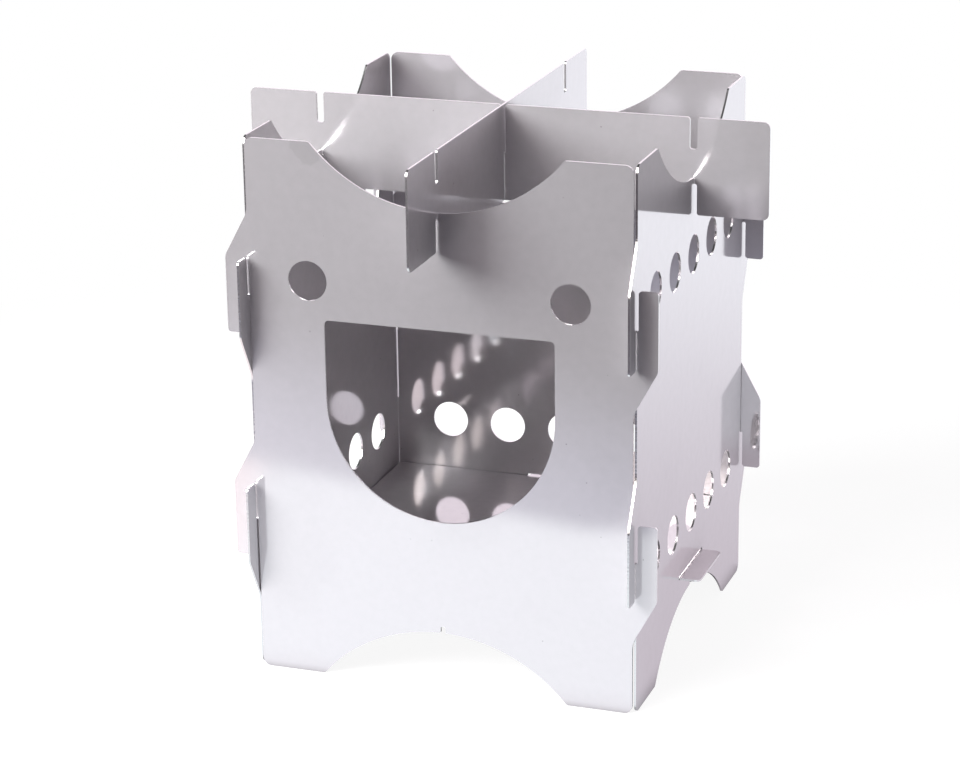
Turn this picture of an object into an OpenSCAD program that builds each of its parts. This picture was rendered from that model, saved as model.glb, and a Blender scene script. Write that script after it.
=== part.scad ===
// Flat-pack hobo stove: four slotted walls that hook round each other like a pinwheel,
// a floor plate held in slots of three walls, and two crossed pot supports on top.
// Units are millimetres and +Z is up. The origin is on the ground, under the middle of
// the stove, and the wall with the fuel door faces -Y.

/* [Stove] */
// Distance between the middles of two opposite walls
wall_spacing = 118; // [108:1:140]
// Height of the walls, from their feet to their ears
wall_h = 165; // [155:1:190]
// Thickness of the sheet steel that every plate is cut from
sheet = 0.6; // [0.4:0.1:0.8]

/* [Feet and ears] */
// Width of each foot, and of each ear
foot_w = 20; // [16:0.5:24]
// Rise of the arch between two feet, and depth of the arch between two ears
arch_rise = 18; // [14:0.5:19]
// Corner radius of the feet and ears
foot_round = 2.5; // [1:0.5:4]
// Radius where a foot or an ear runs into its arch
lip_round = 1.5; // [0.5:0.1:2]
// Width of the notch at the top of each arch
seat_w = 1.5; // [1.2:0.1:2]
// Depth of that notch
seat_depth = 2; // [1:0.1:3]
// Radius at the mouth of the notch
seat_mouth_round = 0.5; // [0.2:0.1:0.8]
// Radius at the bottom of the notch
seat_end_round = 0.4; // [0.1:0.1:0.5]

/* [Corner joints] */
// Distance between the middles of the lower and upper joints of a corner
joint_spacing = 70; // [60:1:76]
// Length over which the tabs of two walls pass each other
joint_len = 23.4; // [16:0.2:28]
// Reach of a tab past the middle of the neighbouring wall
tab_reach = 6.7; // [5:0.1:9]
// Height of the sloping shoulder that carries a tab
shoulder_h = 13.4; // [8:0.2:16]
// Gap between a wall's edge and the inner face of its neighbour
edge_gap = 0.3; // [0.1:0.1:0.5]
// Play between a tab and the outer face of the neighbouring wall
tab_play = 0.6; // [0.3:0.1:1]
// Gap left between two walls where their slots meet
joint_gap = 0.3; // [0.1:0.1:0.6]
// Corner radius at the free end of a tab
tab_round = 1; // [0.5:0.1:1.5]
// Radius of the shoulder's outer corner
shoulder_round = 4; // [2:0.5:6]
// Radius where the shoulder runs into the wall's edge
shoulder_blend = 8; // [4:0.5:12]
// Radius at the bottom of a joint slot
joint_slot_round = 0.6; // [0.2:0.1:0.6]

/* [Fuel door] */
// Width of the fuel door
door_w = 70.4; // [60:0.2:80]
// Height of the fuel door, which is centred on the wall
door_h = 59; // [50:0.5:64]
// Corner radius at the door's flat top
door_round = 1.5; // [0.5:0.1:3]

/* [Vent holes] */
// Diameter of a vent hole
vent_d = 12; // [8:0.5:13]
// Distance between neighbouring holes of a row
vent_pitch = 20; // [16:0.5:22]
// Number of holes in a full row
vents_in_row = 5; // [3:1:5]
// Distance between the lower and the upper row
vent_row_spacing = 82; // [74:1:92]

/* [Floor plate] */
// Height of the floor plate's underside above the ground
floor_h = 24; // [22:0.5:28]
// Gap between the floor plate's edge and the inner face of a wall
floor_gap = 0.5; // [0.3:0.1:1.5]
// Width of each floor tab
floor_tab_w = 25; // [15:0.5:35]
// Reach of a floor tab past the middle of its wall
floor_tab_reach = 6.7; // [4:0.1:9]
// Play at each end of a floor slot, and above the tab in it
floor_slot_play = 0.6; // [0.3:0.1:1]
// Corner radius of the floor tabs
floor_tab_round = 1.8; // [0.5:0.1:3]
// Corner radius of the floor plate and of its tabs' roots
floor_round = 1; // [0.5:0.1:2]
// Radius at the corners of a floor slot
floor_slot_round = 0.4; // [0.1:0.1:0.4]

/* [Pot supports] */
// Overhang of a pot support past the middle of a wall
support_overhang = 23; // [15:0.5:30]
// Height of a pot support
support_h = 29.5; // [26:0.5:34]
// Corner radius of a pot support
support_round = 2; // [1:0.5:4]
// Width of the slots that straddle the walls
support_slot_w = 2.3; // [1.6:0.1:3]
// Radius at the mouth of those slots
support_mouth_round = 0.8; // [0.4:0.1:1.2]
// Radius at the bottom of those slots
support_slot_round = 0.75; // [0.2:0.05:0.75]
// Width of the slot where one pot support crosses the other
lap_w = 1.5; // [1.2:0.1:2]
// Radius at the bottom of that slot
lap_round = 0.4; // [0.1:0.1:0.5]
// Gap left between the two pot supports where their slots meet
lap_gap = 0.2; // [0.1:0.1:0.5]
// Gap left between a pot support and the notch that it rests in
seat_gap = 0.05; // [0.02:0.01:0.2]

/* [Hidden] */
$fn = 96;
// Number of straight steps in a rounded corner, in half an arch and in the door's bottom
corner_steps = 6;
arch_steps = 24;
door_steps = 48;
// Largest share of a slot's width that the radius at its bottom takes
fillet_share = 0.45;
// Turns, in degrees, from the front to the other sides of the stove
right_side = 90;
back_side = 180;
left_side = 270;
// Distance from the stove's middle to the middle of a wall, and to a wall's own edge
wall_at = wall_spacing / 2;
wall_edge = wall_at - sheet / 2 - edge_gap;
// Outer side of a joint slot, and outer edge of a tab
slot_side = wall_at + sheet / 2 + tab_play;
tab_edge = wall_at + tab_reach;
middle_h = wall_h / 2;
// Half of the arch's width, and the radius through its two ends and its top
arch_half = wall_edge - foot_w;
arch_r = (arch_half * arch_half + arch_rise * arch_rise) / (2 * arch_rise);
// Half angles of the arch, at a foot and at the side of the notch
arch_angle = asin(arch_half / arch_r);
seat_angle = asin(seat_w / 2 / arch_r);
// Length and underside of the pot supports, and depth of their slots
support_len = wall_spacing + 2 * support_overhang;
support_base = wall_h - support_h;
support_slot_d = support_h - arch_rise - seat_depth + seat_gap;

function unit(v) = v / norm(v);
function fit(radius, width) = min(radius, width * fillet_share);
// Points of the arc that rounds the corner b between its neighbours a and c
function corner_arc(a, b, c, radius) =
    let (to_a = unit(a - b), to_c = unit(c - b), half = acos(to_a * to_c) / 2,
         reach = radius / tan(half), centre = b + unit(to_a + to_c) * radius / sin(half),
         first = b + to_a * reach - centre, last = b + to_c * reach - centre)
    [for (i = [0 : corner_steps])
        centre + radius * unit(first * (corner_steps - i) + last * i)];
function place(corner) = [corner[0], corner[1]];
// Outline through corners given as [x, y, radius]
function rounded(corners) =
    let (count = len(corners))
    [for (i = [0 : count - 1])
        let (this = corners[i])
        each this[2] > 0
            ? corner_arc(place(corners[(i + count - 1) % count]), place(this),
                         place(corners[(i + 1) % count]), this[2])
            : [place(this)]];
// Corners turned by half a turn about the middle of a plate that is h high
function turned(corners, h) = [for (c = corners) [-c[0], h - c[1], c[2]]];
// Corners of a slot cut upwards from a plate's lower edge
function slot(x, w, depth, mouth, end) =
    [[x - w / 2, 0, mouth], [x - w / 2, depth, fit(end, w)],
     [x + w / 2, depth, fit(end, w)], [x + w / 2, 0, mouth]];

// Point of the arch at an angle from its top
function arch_point(angle) =
    [arch_r * sin(angle), arch_rise - arch_r + arch_r * cos(angle), 0];
// Right half of the arch, from the notch to the foot, without its two ends
arch_right = [for (i = [1 : arch_steps - 1])
    arch_point(seat_angle + (arch_angle - seat_angle) * i / arch_steps)];
arch_left = [for (i = [len(arch_right) - 1 : -1 : 0])
    [-arch_right[i][0], arch_right[i][1], 0]];
seat_mouth_h = arch_point(seat_angle)[1];
seat_h = arch_rise + seat_depth;
seat_fillet = fit(seat_end_round, seat_w);
// Arch from the left foot to the right foot, with the notch at its top
arch = concat(
    [[-arch_half, 0, lip_round]], arch_left,
    [[-seat_w / 2, seat_mouth_h, seat_mouth_round], [-seat_w / 2, seat_h, seat_fillet],
     [seat_w / 2, seat_h, seat_fillet], [seat_w / 2, seat_mouth_h, seat_mouth_round]],
    arch_right, [[arch_half, 0, lip_round]]);

joint_fillet = fit(joint_slot_round, slot_side - wall_edge);
// Tab on a wall's right edge, whose slot opens upwards, about a joint at height h
function tab(h) =
    [[wall_edge, h - joint_len / 2 - shoulder_h, shoulder_blend],
     [tab_edge, h - joint_len / 2, shoulder_round],
     [tab_edge, h + joint_len / 2, tab_round],
     [slot_side, h + joint_len / 2, tab_round],
     [slot_side, h - joint_gap / 2, joint_fillet],
     [wall_edge, h - joint_gap / 2, joint_fillet]];

// Feet, arch and right edge of a wall. Half a turn about the middle gives the rest,
// so the tabs of the left edge hang down and hook over a neighbour's right edge.
half_wall = concat(
    [[-wall_edge, 0, foot_round]], arch, [[wall_edge, 0, foot_round]],
    tab(middle_h - joint_spacing / 2), tab(middle_h + joint_spacing / 2));

module wall_blank() polygon(rounded(concat(half_wall, turned(half_wall, wall_h))));

module vent(place_in_row, row_h)
    translate([place_in_row * vent_pitch, row_h]) circle(d = vent_d);

lower_row_h = middle_h - vent_row_spacing / 2;
upper_row_h = middle_h + vent_row_spacing / 2;
row_end = (vents_in_row - 1) / 2;

// Full rows of vents below and above, and the slot for a tab of the floor plate
module vented_wall() difference() {
    wall_blank();
    for (row_h = [lower_row_h, upper_row_h], i = [-row_end : row_end]) vent(i, row_h);
    floor_slot();
}

floor_slot_half = floor_tab_w / 2 + floor_slot_play;
floor_slot_top = floor_h + sheet + floor_slot_play;
floor_slot_fillet = fit(floor_slot_round, floor_slot_top - floor_h);
module floor_slot() polygon(rounded([
    [-floor_slot_half, floor_h, floor_slot_fillet], [floor_slot_half, floor_h, floor_slot_fillet],
    [floor_slot_half, floor_slot_top, floor_slot_fillet],
    [-floor_slot_half, floor_slot_top, floor_slot_fillet]]));

// Fuel door: flat above, half a circle below
door_top = middle_h + door_h / 2;
door_centre = middle_h - door_h / 2 + door_w / 2;
door_bottom = [for (i = [0 : door_steps]) let (angle = 180 + 180 * i / door_steps)
    [door_w / 2 * cos(angle), door_centre + door_w / 2 * sin(angle), 0]];
module fuel_door() polygon(rounded(concat(
    door_bottom, [[door_w / 2, door_top, door_round], [-door_w / 2, door_top, door_round]])));

// Pot support with slots over and under both walls, and one crossing slot
half_support_ends = [[-support_len / 2, 0, support_round], [support_len / 2, 0, support_round]];
function wall_slot(side) =
    slot(side * wall_at, support_slot_w, support_slot_d, support_mouth_round, support_slot_round);
function half_support(crossing) = concat(
    [half_support_ends[0]], wall_slot(-1),
    crossing ? slot(0, lap_w, (support_h + lap_gap) / 2, support_mouth_round, lap_round) : [],
    wall_slot(1), [half_support_ends[1]]);
module support_blank(crossing_below) polygon(rounded(concat(
    half_support(crossing_below), turned(half_support(!crossing_below), support_h))));

// Half the width of the floor plate, and the outer edge of its tabs
floor_half = wall_at - sheet / 2 - floor_gap;
floor_tab_edge = wall_at + floor_tab_reach;
// Right-hand edge of the floor plate, with its tab
floor_side = [
    [floor_half, -floor_tab_w / 2, floor_round], [floor_tab_edge, -floor_tab_w / 2, floor_tab_round],
    [floor_tab_edge, floor_tab_w / 2, floor_tab_round], [floor_half, floor_tab_w / 2, floor_round],
    [floor_half, floor_half, floor_round]];
function quarter_turned(corners) = [for (c = corners) [-c[1], c[0], c[2]]];
floor_back = quarter_turned(floor_side);
floor_left = quarter_turned(floor_back);

// Stands a flat outline up, so that its x stays x and its y becomes the height
module upright() rotate([90, 0, 0]) linear_extrude(height = sheet, center = true) children();
// Stands an outline up as a wall, on the side that the turn leads to from the front
module wall(turn) rotate([0, 0, turn]) translate([0, -wall_at, 0]) upright() children();

module front_wall() color([0.80, 0.80, 0.83]) wall(0) difference() {
    wall_blank();
    fuel_door();
    for (side = [-1, 1]) vent(side * row_end, upper_row_h);
}
module right_wall() color([0.84, 0.83, 0.86]) wall(right_side) vented_wall();
module back_wall() color([0.60, 0.59, 0.61]) wall(back_side) vented_wall();
module left_wall() color([0.55, 0.54, 0.56]) wall(left_side) vented_wall();
module floor_plate() color([0.70, 0.69, 0.71]) translate([0, 0, floor_h])
    linear_extrude(height = sheet)
        polygon(rounded(concat([[floor_half, -floor_half, floor_round]],
                               floor_side, floor_back, floor_left)));
module lower_pot_support() color([0.82, 0.82, 0.84]) translate([0, 0, support_base])
    upright() support_blank(false);
module upper_pot_support() color([0.66, 0.64, 0.66]) translate([0, 0, support_base])
    rotate([0, 0, right_side]) upright() support_blank(true);

front_wall();
right_wall();
back_wall();
left_wall();
floor_plate();
lower_pot_support();
upper_pot_support();
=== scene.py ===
# %% [markdown]
# A flat-pack hobo stove
#
# The real stove is seven plates of thin stainless sheet, cut by laser and slotted together
# without a screw. Four walls hook round each other, a floor plate lies in slots of three
# walls, and two crossed plates on top carry the pot. The shapes are already exact: they come
# in as the fixed frame. What is left is the look of bright rolled steel, and bright steel
# shows little of itself. It shows what stands around it. So this lesson is about two things:
# a finish that mirrors and scatters at once, and surroundings that are worth mirroring.

# %% Load the frame
import math

import bpy
from mathutils import Euler, Matrix, Vector

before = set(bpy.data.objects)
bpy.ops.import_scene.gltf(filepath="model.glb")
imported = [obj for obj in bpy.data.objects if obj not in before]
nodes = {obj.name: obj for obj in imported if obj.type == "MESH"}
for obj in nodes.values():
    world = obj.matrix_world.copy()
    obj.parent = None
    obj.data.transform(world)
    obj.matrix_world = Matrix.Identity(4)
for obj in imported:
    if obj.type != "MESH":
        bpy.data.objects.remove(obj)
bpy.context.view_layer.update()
bpy.ops.object.select_all(action="DESELECT")
MM = 0.001
print("plates:", ", ".join(sorted(nodes)))

# %% [markdown]
# Small helpers for shaders
#
# A material here is a chain of small sums. Writing each node by hand hides the sum, so a few
# helpers add a node, link what goes in, and hand back what comes out. Each helper takes
# either a number or another node's output, which keeps the recipes below short enough to
# read as sentences. These two come first, and the others come where they are first needed.

# %% Helpers to link and to mix
def feed(tree, socket, value):
    """Links a node's output to a socket, or sets the socket to a plain value."""
    if isinstance(value, bpy.types.NodeSocket):
        tree.links.new(value, socket)
    else:
        socket.default_value = value


def mix_shaders(tree, share, first, second):
    """Mixes two shaders: a share of 0 gives the first and 1 the second."""
    node = tree.nodes.new("ShaderNodeMixShader")
    feed(tree, node.inputs[0], share)
    tree.links.new(first, node.inputs[1])
    tree.links.new(second, node.inputs[2])
    return node.outputs["Shader"]


print("helpers to link and to mix: feed, mix_shaders")

# %% [markdown]
# Bright rolled steel
#
# Sheet of this kind leaves the mill as a dull mirror, and one roughness can't show that: low,
# it is a bathroom mirror, and high, it is grey paint. The real surface is two things at once.
# Most of it is flat enough to mirror a crisp edge, and between those flats it is pitted by
# the rolls and scatters light broadly. So the shader is two Principled shaders, a mirror and a
# haze, in one Mix Shader. The haze catches the lamps and gives the plates their even grey,
# and the mirror shows the table, the other plates and the rows of holes.
#
# The rolls also leave hair-fine lines along the sheet, which blur a reflection a little more
# across them. Anisotropy does that, with a tangent that points across the lines. The mirror is
# all metal. The haze is metal for less than a third, and the rest is a plain matt grey that the
# lamps light evenly.

# %% The mirror and the haze
MIRROR_ANISOTROPY = 0.20
HAZE_ROUGHNESS = 0.55
HAZE_ANISOTROPY = 0.40
HAZE_METALLIC = 0.3


def steel_lobe(tree, colour, metallic, roughness, anisotropy, normal, tangent):
    """One of the two reflections of the steel: a Principled shader with these settings."""
    lobe = tree.nodes.new("ShaderNodeBsdfPrincipled")
    feed(tree, lobe.inputs["Base Color"], colour)
    lobe.inputs["Metallic"].default_value = metallic
    lobe.inputs["Anisotropic"].default_value = anisotropy
    feed(tree, lobe.inputs["Roughness"], roughness)
    tree.links.new(normal, lobe.inputs["Normal"])
    tree.links.new(tangent, lobe.inputs["Tangent"])
    return lobe.outputs["BSDF"]


def mirror_and_haze(tree, share, colour, roughness, normal, tangent):
    """The steel's two reflections in one, where share says how much of it is haze."""
    mirror = steel_lobe(tree, colour, 1.0, roughness, MIRROR_ANISOTROPY, normal, tangent)
    haze = steel_lobe(tree, colour, HAZE_METALLIC, HAZE_ROUGHNESS, HAZE_ANISOTROPY, normal, tangent)
    return mix_shaders(tree, share, mirror, haze)


print("the haze has a roughness of", HAZE_ROUGHNESS, "and is metal for a share of", HAZE_METALLIC)

# %% [markdown]
# Sums and places
#
# What comes next depends on where a point of the plate lies. These helpers work with numbers,
# and turn a place into a number: how cloudy it is there, how far it is from somewhere, or one
# of its three coordinates. They could be node groups in a file of their own, but as functions
# they are all in sight.

# %% Helpers for sums and places
def math_node(tree, operation, *values):
    """The output of a Math node that works on the values."""
    node = tree.nodes.new("ShaderNodeMath")
    node.operation = operation
    for socket, value in zip(node.inputs, values):
        feed(tree, socket, value)
    return node.outputs["Value"]


def ramp(tree, value, start, end):
    """Rises smoothly from 0 at start to 1 at end."""
    node = tree.nodes.new("ShaderNodeMapRange")
    node.interpolation_type = "SMOOTHSTEP"
    feed(tree, node.inputs["Value"], value)
    feed(tree, node.inputs["From Min"], start)
    feed(tree, node.inputs["From Max"], end)
    return node.outputs["Result"]


def noise(tree, point, size, stretch=(1.0, 1.0, 1.0), detail=3.0):
    """Cloudy noise with lumps of about the given size in metres, drawn out by stretch."""
    mapping = tree.nodes.new("ShaderNodeMapping")
    tree.links.new(point, mapping.inputs["Vector"])
    mapping.inputs["Scale"].default_value = [1 / (size * along) for along in stretch]
    node = tree.nodes.new("ShaderNodeTexNoise")
    tree.links.new(mapping.outputs["Vector"], node.inputs["Vector"])
    node.inputs["Scale"].default_value = 1.0
    node.inputs["Detail"].default_value = detail
    return node.outputs["Fac"]


def distance_to(tree, point, place):
    """How far a point is from a fixed place."""
    node = tree.nodes.new("ShaderNodeVectorMath")
    node.operation = "DISTANCE"
    tree.links.new(point, node.inputs[0])
    node.inputs[1].default_value = place
    return node.outputs["Value"]


def parts_of(tree, vector):
    """The X, Y and Z of a vector."""
    node = tree.nodes.new("ShaderNodeSeparateXYZ")
    tree.links.new(vector, node.inputs["Vector"])
    return node.outputs


print("helpers for sums and places: math_node, ramp, noise, distance_to, parts_of")

# %% [markdown]
# Wear, pits and a dried mark
#
# New sheet is never quite even. It has faint clouds from the degreasing bath, a fine mottle,
# a few pits under half a millimetre wide, and marks where a drop of water has dried. Each
# could be painted by hand on an unwrapped plate, but a flat plate needs no unwrapping: noise
# read at the plate's own place in space gives the same result and stays sharp at any size.
# The mark by the front wall's left ear is a ball of that space, bent out of round by noise.

# %% Clouds, pits and the dried mark
CLOUD_SIZE = 34 * MM
STAINED_CLOUDS = (0.52, 0.72)
PIT_SPACING = 6 * MM
PIT_RADIUS_SHARE = 0.035
PITTED_SHARE = 0.5
MARK_PLACE = (-39 * MM, -59.5 * MM, 163 * MM)
MARK_RADIUS = 4.5 * MM
MARK_BENDING = 9 * MM
MARK_LUMPS = 7 * MM
MARK_RIM = 0.8 * MM


def clouds_and_stains(tree, place):
    """How cloudy the steel is, and 1 in the thick of a cloud, where it is stained."""
    clouds = noise(tree, place, CLOUD_SIZE)
    return clouds, ramp(tree, clouds, *STAINED_CLOUDS)


def pits(tree, place):
    """1 in a sparse pit and 0 around it."""
    cells = tree.nodes.new("ShaderNodeTexVoronoi")
    tree.links.new(place, cells.inputs["Vector"])
    cells.inputs["Scale"].default_value = 1 / PIT_SPACING
    in_pit = math_node(tree, "LESS_THAN", cells.outputs["Distance"], PIT_RADIUS_SHARE)
    is_pitted = math_node(tree, "LESS_THAN", parts_of(tree, cells.outputs["Color"])[0], PITTED_SHARE)
    return math_node(tree, "MULTIPLY", in_pit, is_pitted)


def dried_mark(tree, place):
    """1 in the mark by the ear of the front wall, with a fairly crisp outline."""
    lumps = noise(tree, place, MARK_LUMPS)
    bent = math_node(tree, "MULTIPLY_ADD", lumps, MARK_BENDING, -0.5 * MARK_BENDING)
    reach = math_node(tree, "ADD", distance_to(tree, place, MARK_PLACE), bent)
    return ramp(tree, reach, MARK_RADIUS + MARK_RIM, MARK_RADIUS)


print("one pit in about", round(PIT_SPACING / MM / PITTED_SHARE ** 0.5), "mm")

# %% [markdown]
# Cut edges and the colour
#
# The laser leaves another surface on the cut edges: rougher, brighter and crossed by small
# grooves. It could be a second material on chosen faces, but the plates' faces are the
# construction's own and stay as they are. So the shader finds an edge by its normal: a
# plate's two broad faces look along one axis, and nothing else on it does.
#
# The colour is then four layers, the first at the bottom: the steel, its stains, its pits and
# mark, and the paler cut edge. It hardly changes from place to place. What makes the plates
# look so different from each other is only what they mirror.

# %% Where the cut edges are, and the colour all over
STEEL = (0.69, 0.668, 0.686, 1.0)
STAINED_STEEL = (0.67, 0.648, 0.666, 1.0)
CUT_EDGE = (0.78, 0.78, 0.78, 1.0)
PIT_DARKENING = 0.45
MARK_DARKENING = 0.09
TURNED_AWAY = 0.5
AXES = {"x": 0, "y": 1, "z": 2}


def blend(tree, share, first, second, kind="FLOAT"):
    """Mixes two numbers or two colours: a share of 0 gives the first and 1 the second."""
    node = tree.nodes.new("ShaderNodeMix")
    node.data_type = kind
    # A Mix node has sockets for every kind of value, so they are found by number, not by name.
    first_socket, second_socket, result = {"FLOAT": (2, 3, 0), "RGBA": (6, 7, 2)}[kind]
    feed(tree, node.inputs[0], share)
    feed(tree, node.inputs[first_socket], first)
    feed(tree, node.inputs[second_socket], second)
    return node.outputs[result]


def darkened(tree, colour, share, darkening):
    """The colour, made darker where share is 1."""
    keep = math_node(tree, "MULTIPLY_ADD", share, -darkening, 1.0)
    node = tree.nodes.new("ShaderNodeVectorMath")
    node.operation = "SCALE"
    feed(tree, node.inputs[0], colour)
    feed(tree, node.inputs["Scale"], keep)
    return node.outputs["Vector"]


def cut_edge(tree, normal, across):
    """1 on the cut edges of a plate whose faces look along across, and 0 on its faces."""
    facing = parts_of(tree, normal)[AXES[across]]
    return math_node(tree, "LESS_THAN", math_node(tree, "ABSOLUTE", facing), TURNED_AWAY)


def steel_colour(tree, place, stain, on_edge):
    """The steel with its stains, pits and dried mark, and its paler cut edges."""
    colour = blend(tree, stain, STEEL, STAINED_STEEL, "RGBA")
    colour = darkened(tree, colour, pits(tree, place), PIT_DARKENING)
    colour = darkened(tree, colour, dried_mark(tree, place), MARK_DARKENING)
    return blend(tree, on_edge, colour, CUT_EDGE, "RGBA")


print("steel", STEEL[:3], "and its cut edges", CUT_EDGE[:3])

# %% [markdown]
# Rolling lines and laser grooves
#
# Two sets of marks give the steel its grain. The rolls draw hair lines and long streaks along
# the sheet, and the laser leaves short grooves straight through a cut edge. Both are noise
# that is drawn out along one axis. The streaks only change how blurred the mirror is. The hair
# lines and the grooves could be modelled, but at a few hundredths of a millimetre they are far
# too small to be worth a mesh, so they are a bump.

# %% How blurred and how grooved the steel is
MIRROR_ROUGHNESS = 0.08
EDGE_ROUGHNESS = 0.22
STREAK_WEAR = 0.02
STAIN_WEAR = 0.02
LINE_STRETCH = 14.0
GROOVE_STRETCH = 3.0
STREAK_WIDTH = 5 * MM
HAIR_LINE_WIDTH = 0.5 * MM
HAIR_LINE_SHARE = 0.015
GROOVE_WIDTH = 0.9 * MM
BUMP_DEPTH = 0.05 * MM


def drawn_out(along, stretch):
    """How far noise is drawn out on X, Y and Z, when it runs along one of them."""
    return [stretch if axis == along else 1.0 for axis in AXES]


def steel_roughness(tree, place, stain, on_edge, grain, use):
    """How blurred the mirror is by streaks, stains and use, and on a cut edge."""
    streaks = noise(tree, place, STREAK_WIDTH, drawn_out(grain, LINE_STRETCH), detail=4.0)
    least = MIRROR_ROUGHNESS + use - 0.5 * STREAK_WEAR
    worn = math_node(tree, "MULTIPLY_ADD", streaks, STREAK_WEAR, least)
    worn = math_node(tree, "MULTIPLY_ADD", stain, STAIN_WEAR, worn)
    return blend(tree, on_edge, worn, EDGE_ROUGHNESS)


def steel_relief(tree, place, on_edge, grain, across):
    """A bump of hair lines on the faces and of laser grooves on the cut edges."""
    lines = noise(tree, place, HAIR_LINE_WIDTH, drawn_out(grain, LINE_STRETCH), detail=2.0)
    faint_lines = math_node(tree, "MULTIPLY", lines, HAIR_LINE_SHARE)
    grooves = noise(tree, place, GROOVE_WIDTH, drawn_out(across, GROOVE_STRETCH), detail=1.0)
    bump = tree.nodes.new("ShaderNodeBump")
    bump.inputs["Distance"].default_value = BUMP_DEPTH
    feed(tree, bump.inputs["Height"], blend(tree, on_edge, faint_lines, grooves))
    return bump.outputs["Normal"]


print("hair lines", HAIR_LINE_WIDTH / MM, "mm wide and grooves", GROOVE_WIDTH / MM, "mm wide")

# %% [markdown]
# The whole recipe
#
# Now the layers come together in one material. The clouds and the mottle shift the balance
# between mirror and haze a little from place to place, and the cut edges get no haze. The
# tangent points across the lines. Its other two parts are small and not zero, because on a cut
# edge it would otherwise stand square on the surface, where it says nothing. All this could be
# a node group, which is handy in the editor, but a function takes the directions as plain words.

# %% The finish of a plate
HAZE_SHARE = 0.32
HAZE_VARIES = 0.06
MOTTLE_SIZE = 3 * MM
MOTTLE_PART = 0.6
TANGENT_LEAN = 0.03


def haze_share(tree, place, clouds, on_edge):
    """How much of the steel's light is haze, with none on a cut edge."""
    mottle = noise(tree, place, MOTTLE_SIZE, detail=5.0)
    uneven = blend(tree, MOTTLE_PART, clouds, mottle)
    dull = math_node(tree, "MULTIPLY_ADD", uneven, HAZE_VARIES, HAZE_SHARE - 0.5 * HAZE_VARIES)
    return blend(tree, on_edge, dull, 0.0)


def sheet_steel(name, across, grain, blur, use):
    """Steel of a plate whose faces look along across, with its rolling lines along grain."""
    material = bpy.data.materials.new(name)
    material.use_nodes = True
    tree = material.node_tree
    tree.nodes.clear()
    where = tree.nodes.new("ShaderNodeTexCoord").outputs
    place = where["Object"]
    on_edge = cut_edge(tree, where["Normal"], across)
    clouds, stain = clouds_and_stains(tree, place)

    share = haze_share(tree, place, clouds, on_edge)
    colour = steel_colour(tree, place, stain, on_edge)
    roughness = steel_roughness(tree, place, stain, on_edge, grain, use)
    normal = steel_relief(tree, place, on_edge, grain, across)
    tangent = tree.nodes.new("ShaderNodeCombineXYZ")
    for axis, socket in zip(AXES, tangent.inputs):
        socket.default_value = 1.0 if axis == blur else TANGENT_LEAN
    surface = mirror_and_haze(tree, share, colour, roughness, normal, tangent.outputs["Vector"])
    output = tree.nodes.new("ShaderNodeOutputMaterial")
    tree.links.new(surface, output.inputs["Surface"])
    print(f"{name}: faces along {across}, lines along {grain}, blurred along {blur}")
    return material


print("haze takes", HAZE_SHARE, "of the light, give or take", 0.5 * HAZE_VARIES)

# %% [markdown]
# Which way the lines run
#
# A plate's rolling lines follow how it lay on the sheet before it was cut, and they show as
# the direction in which a reflection smears. One material with a switch for each plate would
# do, but one for each direction is easier to read, and plates that look the same way share
# it. The last number is how much the plate has been rubbed dull in use: pots are pushed about
# on the supports, so their mirror is a little softer. The plates keep the construction's own
# meshes. They only get the finish.

# %% Give every plate its steel
PLATES = {
    "steel_front_back": ("y", "z", "x", 0.0, ("front_wall", "back_wall")),
    "steel_left_right": ("x", "z", "y", 0.0, ("left_wall", "right_wall")),
    "steel_floor": ("z", "y", "x", 0.0, ("floor_plate",)),
    "steel_lower_support": ("y", "x", "z", 0.055, ("lower_pot_support",)),
    "steel_upper_support": ("x", "y", "z", 0.055, ("upper_pot_support",)),
}
for name, (across, grain, blur, use, wearers) in PLATES.items():
    steel = sheet_steel(name, across, grain, blur, use)
    for wearer in wearers:
        plate = nodes[wearer]
        plate.data.materials.clear()
        plate.data.materials.append(steel)

# %% [markdown]
# What the steel mirrors in front
#
# Steel this bright is only as pale as what stands around it, so the table matters more than
# the lamps. In front of the stove a white sheet lies on it, and the lower half of the front
# wall mirrors that sheet. The sheet's end shows as the soft line across the wall. Beyond that
# line the table is half lit, and it goes dark where the lamps no longer reach. The sheet's
# far left corner is a little rosy. The front wall doesn't mirror that corner, but the back wall
# does, through the vents of the left wall, and that is why its ovals look rosy. Each of these
# could be an object, but a few ramps over one plane are lighter.

# %% The table in front of the stove
WHITE_SHEET = (0.755, 0.79, 0.825, 1.0)
ROSY_SHEET = (0.86, 0.765, 0.785, 1.0)
ROSY_SLANT = 0.358
ROSY_STARTS, ROSY_ENDS = -0.045, -0.056
SHEET_ENDS_Y = -0.196
SHEET_END_SLANT = 0.21
SHEET_END_BLUR = 0.011
HALF_LIT_LEFT = (0.38, 0.38, 0.45, 1.0)
HALF_LIT_RIGHT = (0.22, 0.22, 0.29, 1.0)
HALF_LIT_REACH = 0.18
DARK_LEFT = (0.09, 0.08, 0.09, 1.0)
DARK_RIGHT = (0.02, 0.01, 0.015, 1.0)
LEFT_SLOPE, RIGHT_SLOPE = -0.5, 0.45
LEAST_DISTANCE = 0.02


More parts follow.
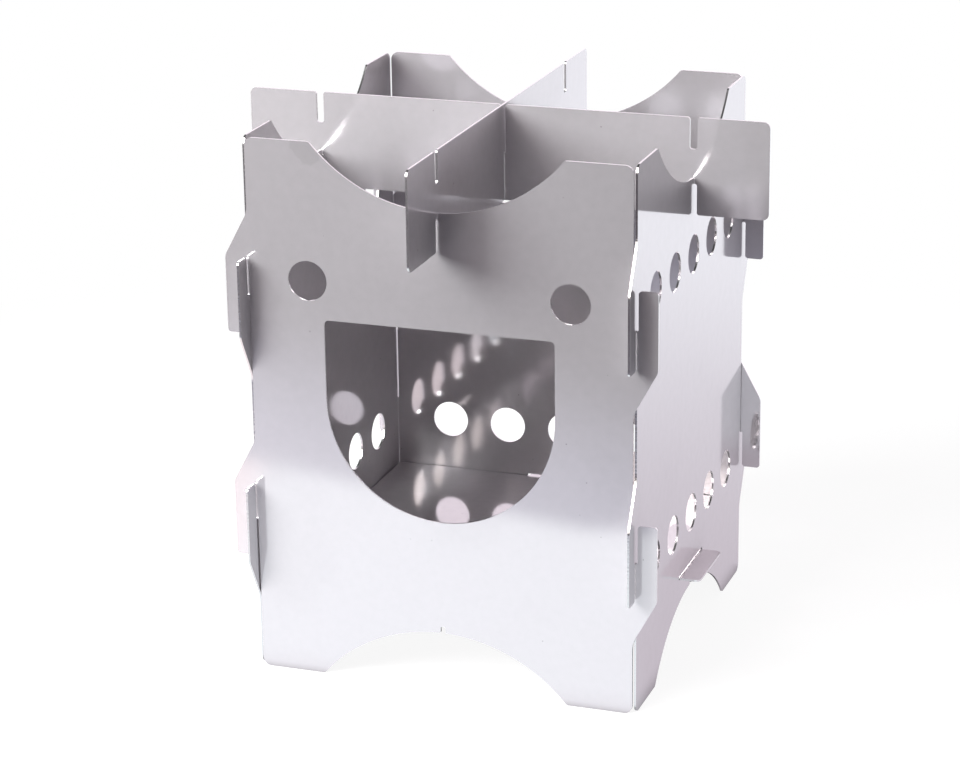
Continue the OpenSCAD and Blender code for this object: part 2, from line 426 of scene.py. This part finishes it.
def table_in_front(tree, east, north):
    """The colour that the steel mirrors from the table in front of the stove."""
    far_left = math_node(tree, "MULTIPLY_ADD", north, -ROSY_SLANT, east)
    rosy = ramp(tree, far_left, ROSY_STARTS, ROSY_ENDS)
    sheet = blend(tree, rosy, WHITE_SHEET, ROSY_SHEET, "RGBA")
    outwards = math_node(tree, "ABSOLUTE", east)
    line = math_node(tree, "MULTIPLY_ADD", outwards, SHEET_END_SLANT, north)
    past_sheet = ramp(tree, line, SHEET_ENDS_Y + SHEET_END_BLUR, SHEET_ENDS_Y - SHEET_END_BLUR)
    fading = ramp(tree, line, SHEET_ENDS_Y, SHEET_ENDS_Y - HALF_LIT_REACH)
    distance = math_node(tree, "MAXIMUM", math_node(tree, "MULTIPLY", north, -1.0), LEAST_DISTANCE)
    on_right = ramp(tree, math_node(tree, "DIVIDE", east, distance), LEFT_SLOPE, RIGHT_SLOPE)
    half_lit = blend(tree, on_right, HALF_LIT_LEFT, HALF_LIT_RIGHT, "RGBA")
    dark = blend(tree, on_right, DARK_LEFT, DARK_RIGHT, "RGBA")
    beyond = blend(tree, fading, half_lit, dark, "RGBA")
    return blend(tree, past_sheet, sheet, beyond, "RGBA")


print("the white sheet ends", -SHEET_ENDS_Y, "m in front of the middle of the stove")

# %% [markdown]
# What it mirrors behind and below
#
# The right wall mirrors the table behind the stove. There the stove's own shadow falls, so it
# starts grey at the feet and clears to white further back. On the left it stays grey: the left
# wall has the key lamp's full light, and with white in its mirror as well it would burn out.
# Right under the stove no light comes at all, and the dark square there is what the floor plate
# and the feet see below them. It is about as large as the footprint, with a soft rim. Lamps and
# a real shadow could draw all this, but then no patch could be set without moving the others.

# %% The table all round
SHADED_TABLE = (0.565, 0.52, 0.57, 1.0)
CLEAR_TABLE = (0.92, 0.94, 0.98, 1.0)
CLEARING_STARTS, CLEARING_ENDS = 0.02, 0.52
LEFT_TABLE = (0.45, 0.44, 0.48, 1.0)
LEFT_STARTS_X, LEFT_ENDS_X = -0.11, -0.26
BEHIND_STARTS_Y, BEHIND_ENDS_Y = -0.075, -0.040
UNDER_STOVE = (0.02, 0.02, 0.02, 1.0)
UNDER_STARTS, UNDER_ENDS = 0.054, 0.064


def table_all_round(tree, spot, away):
    """The colour that the steel mirrors from any spot of the table."""
    east, north, _ = parts_of(tree, spot)
    cleared = ramp(tree, away, CLEARING_STARTS, CLEARING_ENDS)
    behind = blend(tree, cleared, SHADED_TABLE, CLEAR_TABLE, "RGBA")
    on_left = ramp(tree, east, LEFT_STARTS_X, LEFT_ENDS_X)
    behind = blend(tree, on_left, behind, LEFT_TABLE, "RGBA")
    is_behind = ramp(tree, north, BEHIND_STARTS_Y, BEHIND_ENDS_Y)
    colour = blend(tree, is_behind, table_in_front(tree, east, north), behind, "RGBA")
    sides = [math_node(tree, "ABSOLUTE", side) for side in (east, north)]
    uncovered = ramp(tree, math_node(tree, "MAXIMUM", *sides), UNDER_STARTS, UNDER_ENDS)
    return blend(tree, uncovered, UNDER_STOVE, colour, "RGBA")


print("the table clears to white", CLEARING_ENDS, "m from the stove")

# %% [markdown]
# One plane, seen two ways
#
# The camera sees a plain white table with a faint shadow under the stove, and the steel sees
# the colours above. The Light Path node tells a camera ray from the others, so one plane is
# enough. For the camera the white is mostly light of the table's own, with a thin share of
# real paint near the stove, because only paint can take a shadow. White paint alone would
# need strong lamps to come out white, and those would bleach the plates.

# %% The table as the camera sees it
CAMERA_WHITE = (1.0, 1.0, 1.0, 1.0)
PAINT_SHARE = 0.20
PAINT_LIT = 0.45
PAINT_FADES, PAINT_ENDS = 0.14, 0.40


def glow(tree, colour, strength):
    """Light of its own in the given colour."""
    node = tree.nodes.new("ShaderNodeEmission")
    feed(tree, node.inputs["Color"], colour)
    feed(tree, node.inputs["Strength"], strength)
    return node.outputs["Emission"]


def white_with_shadow(tree, away):
    """The table as the camera sees it: white, with a share of paint that takes the shadow."""
    share = math_node(tree, "MULTIPLY", ramp(tree, away, PAINT_ENDS, PAINT_FADES), PAINT_SHARE)
    paint = tree.nodes.new("ShaderNodeBsdfDiffuse")
    feed(tree, paint.inputs["Color"], share)
    own_light = math_node(tree, "MULTIPLY_ADD", share, -PAINT_LIT, 1.0)
    both = tree.nodes.new("ShaderNodeAddShader")
    tree.links.new(glow(tree, CAMERA_WHITE, own_light), both.inputs[0])
    tree.links.new(paint.outputs["BSDF"], both.inputs[1])
    return both.outputs["Shader"]


print("up to", PAINT_SHARE, "of the white is paint, as far as", PAINT_ENDS, "m away")

# %% [markdown]
# The table itself
#
# The real table goes on past the picture. A plane that just fills the picture would do for the
# camera, but the plates would mirror its edge, so this one is far larger. It is there for the
# picture and is no part of the stove. Its colours go by the place on
# the plane, so they stay where they are when the stove is looked at from another side.

# %% Lay the table
TABLE_SIZE = 8.0
TABLE_GLOW = 1.4
bpy.ops.mesh.primitive_plane_add(size=TABLE_SIZE)
table = bpy.context.object
table.name = "table"
table_finish = bpy.data.materials.new("white_table")
table_finish.use_nodes = True
tree = table_finish.node_tree
tree.nodes.clear()
rays = tree.nodes.new("ShaderNodeLightPath").outputs
spot = tree.nodes.new("ShaderNodeTexCoord").outputs["Object"]
away = distance_to(tree, spot, (0.0, 0.0, 0.0))
mirrored = glow(tree, table_all_round(tree, spot, away), TABLE_GLOW)
surface = mix_shaders(tree, rays["Is Camera Ray"], mirrored, white_with_shadow(tree, away))
output = tree.nodes.new("ShaderNodeOutputMaterial")
tree.links.new(surface, output.inputs["Surface"])
table.data.materials.append(table_finish)
print("table:", TABLE_SIZE, "m square")

# %% [markdown]
# The room around the table
#
# Above the table the steel mirrors the room. A picture of a studio would light it well, but a
# plain sky that is pale behind the stove and dark in front does the same work and can be read
# in a few lines. The dark front keeps the plates' shaded sides deep, and the pale back keeps
# the right wall and the back of the supports bright. The camera itself sees only white. The
# steel could be given the same white to mirror, but every plate would turn into one flat white.

# %% The room
ROOM_GLOW = 1.35
ROOM_BEHIND = (1.0, 0.905, 0.98, 1.0)
ROOM_IN_FRONT = (0.02, 0.01, 0.015, 1.0)
CEILING = (0.05, 0.05, 0.05, 1.0)
BACK_STARTS, BACK_ENDS = 0.1, 0.7
CEILING_STARTS, CEILING_ENDS = 0.35, 0.75
world = bpy.data.worlds.new("room")
bpy.context.scene.world = world
world.use_nodes = True
tree = world.node_tree
tree.nodes.clear()
rays = tree.nodes.new("ShaderNodeLightPath").outputs
direction = tree.nodes.new("ShaderNodeTexCoord").outputs["Generated"]
_, back, up = parts_of(tree, direction)
walls = blend(tree, ramp(tree, back, BACK_STARTS, BACK_ENDS), ROOM_IN_FRONT, ROOM_BEHIND, "RGBA")
room = blend(tree, ramp(tree, up, CEILING_STARTS, CEILING_ENDS), walls, CEILING, "RGBA")
background = tree.nodes.new("ShaderNodeBackground")
feed(tree, background.inputs["Color"], blend(tree, rays["Is Camera Ray"], room, CAMERA_WHITE, "RGBA"))
feed(tree, background.inputs["Strength"], blend(tree, rays["Is Camera Ray"], ROOM_GLOW, 1.0))
output = tree.nodes.new("ShaderNodeOutputWorld")
tree.links.new(background.outputs["Background"], output.inputs["Surface"])
print("room: pale behind the stove, dark in front of it")

# %% [markdown]
# Three soft lamps
#
# A lamp does two things to such steel. It lights the haze, which makes the even grey of the
# plates, and it stands in the mirror. The key lamp on the left makes the soft shadow that the
# upper pot support throws on the front wall, and a weaker lamp beside it opens that shadow.
# One lamp of the size of both could do it too, but the shadow would lose its outline.
# The third is a large, dim card in the very direction that the floor plate mirrors through
# the vents of the left wall. It hardly lights anything, but it draws the row of cream ovals
# on the floor, so it is kept dim and slightly warm.

# %% The lamps
STOVE_MIDDLE = Vector((0.0, 0.0, 0.08))
COOL_WHITE = (0.97, 1.0, 1.0)
NEAR_WHITE = (1.0, 0.94, 0.95)
WARM_WHITE = (1.0, 0.93, 0.86)


def softbox(name, azimuth, elevation, distance, size, power, colour):
    """A square lamp that faces the stove. Azimuth 0 is in front and 90 on the right."""
    turn, rise = math.radians(azimuth), math.radians(elevation)
    aside = math.sin(turn) * math.cos(rise)
    ahead = -math.cos(turn) * math.cos(rise)
    away = Vector((aside, ahead, math.sin(rise)))
    bpy.ops.object.light_add(type="AREA", location=STOVE_MIDDLE + away * distance)
    lamp = bpy.context.object
    lamp.name = name
    lamp.rotation_euler = away.to_track_quat("Z", "Y").to_euler()
    lamp.data.shape = "SQUARE"
    lamp.data.size = size
    lamp.data.energy = power
    lamp.data.color = colour
    print(f"{name}: {power} W, {size} m wide, {distance} m away")


softbox("key_lamp", azimuth=-44, elevation=29, distance=0.85, size=0.45, power=14.4, colour=COOL_WHITE)
softbox("second_lamp", azimuth=-24, elevation=36, distance=1.00, size=0.55, power=8.0, colour=NEAR_WHITE)
softbox("low_card", azimuth=-20, elevation=17, distance=1.10, size=0.45, power=1.1, colour=WARM_WHITE)

# %% [markdown]
# The camera
#
# The camera stands in front and a little to the right, and looks down on the stove. Its place
# was found by matching corners of the plates, whose real places are known, with the corners
# in the photograph. It could be set by hand with a few tries, but for a thing made of straight
# edges even half a degree shows. So it is given as an aim point, a distance and three angles.

# %% Place the camera
LENS_MM = 112.44
SENSOR_MM = 36.0
VIEW_AZIMUTH = math.radians(19.68)
VIEW_ELEVATION = math.radians(18.695)
VIEW_ROLL = math.radians(-0.789)
AIM = Vector((-7.03, -4.31, 77.50)) * MM
VIEW_DISTANCE = 921.06 * MM
bpy.ops.object.camera_add()
camera = bpy.context.object
camera.name = "camera"
camera.data.lens = LENS_MM
camera.data.sensor_width = SENSOR_MM
camera.data.sensor_fit = "HORIZONTAL"
turned = Euler((math.pi / 2 - VIEW_ELEVATION, 0.0, VIEW_AZIMUTH)).to_matrix()
turned = turned @ Matrix.Rotation(VIEW_ROLL, 3, "Z")
camera.location = AIM + turned.col[2] * VIEW_DISTANCE
camera.rotation_euler = turned.to_euler()
bpy.context.scene.camera = camera
bpy.context.scene.view_settings.view_transform = "Standard"
print("camera at", [round(side, 3) for side in camera.location])
